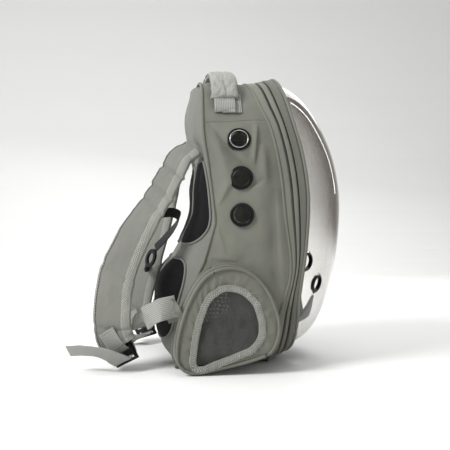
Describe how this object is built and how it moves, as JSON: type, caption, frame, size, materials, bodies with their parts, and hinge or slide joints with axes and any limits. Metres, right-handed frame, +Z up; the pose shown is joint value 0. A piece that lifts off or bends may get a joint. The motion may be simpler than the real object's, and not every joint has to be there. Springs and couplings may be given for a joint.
{
  "type": "bubble pet carrier backpack",
  "caption": "Soft backpack for carrying a small pet, with a clear domed front, side mesh doors and padded shoulder straps.",
  "frame": {"origin": "middle of the flat base, on the plane that it stands on", "axes": "+X towards the dome, +Z up, -Y the wearer's left side"},
  "size_m": [0.3998, 0.3236, 0.4195],
  "materials": {
    "shell_fabric": "coated woven polyester, soft sheen",
    "pad_fabric": "padded woven polyester",
    "piping": "fabric covered cord",
    "webbing": "ribbed woven webbing",
    "dark_webbing": "ribbed woven webbing",
    "air_mesh": "knitted spacer mesh",
    "window_mesh": "open square net",
    "mat_fabric": "matte woven cloth",
    "black_plastic": "moulded, satin to gloss",
    "clear_plastic": "clear, slightly smoky, gloss"
  },
  "bodies": {
    "root": {"side_panel_left": "shell_fabric", "door_gusset_left": "shell_fabric", "door_panel_left": "shell_fabric", "door_mesh_left": "window_mesh", "door_piping_left": "piping", "back_mesh_upper_left": "air_mesh", "lumbar_mesh_left": "air_mesh", "handle_webbing_left": "webbing", "shoulder_strap_left": "pad_fabric", "strap_patch_left": "webbing", "strap_webbing_left": "webbing", "ladder_lock_left": "black_plastic", "anchor_tab_left": "shell_fabric", "sternum_strap_left": "dark_webbing", "side_eyelet_left_1": "black_plastic", "side_eyelet_left_2": "black_plastic", "side_eyelet_left_3": "black_plastic", "side_panel_right": "shell_fabric", "door_gusset_right": "shell_fabric", "door_panel_right": "shell_fabric", "door_mesh_right": "window_mesh", "door_piping_right": "piping", "back_mesh_upper_right": "air_mesh", "lumbar_mesh_right": "air_mesh", "handle_webbing_right": "webbing", "shoulder_strap_right": "pad_fabric", "strap_patch_right": "webbing", "strap_webbing_right": "webbing", "ladder_lock_right": "black_plastic", "anchor_tab_right": "shell_fabric", "sternum_strap_right": "dark_webbing", "side_eyelet_right_1": "black_plastic", "side_eyelet_right_2": "black_plastic", "side_eyelet_right_3": "black_plastic", "top_panel": "shell_fabric", "bottom_panel": "shell_fabric", "back_panel": "shell_fabric", "zipper_band": "shell_fabric", "dome_frame": "shell_fabric", "back_piping": "piping", "body_front_piping": "piping", "dome_piping": "piping", "back_pad": "pad_fabric", "handle_grip": "pad_fabric", "floor_mat": "mat_fabric", "dome": "clear_plastic", "sternum_buckle": "black_plastic", "dome_vent_ring_1": "black_plastic", "dome_vent_ring_2": "black_plastic", "dome_vent_ring_3": "black_plastic", "dome_vent_ring_4": "black_plastic"}
  },
  "joints": []
}
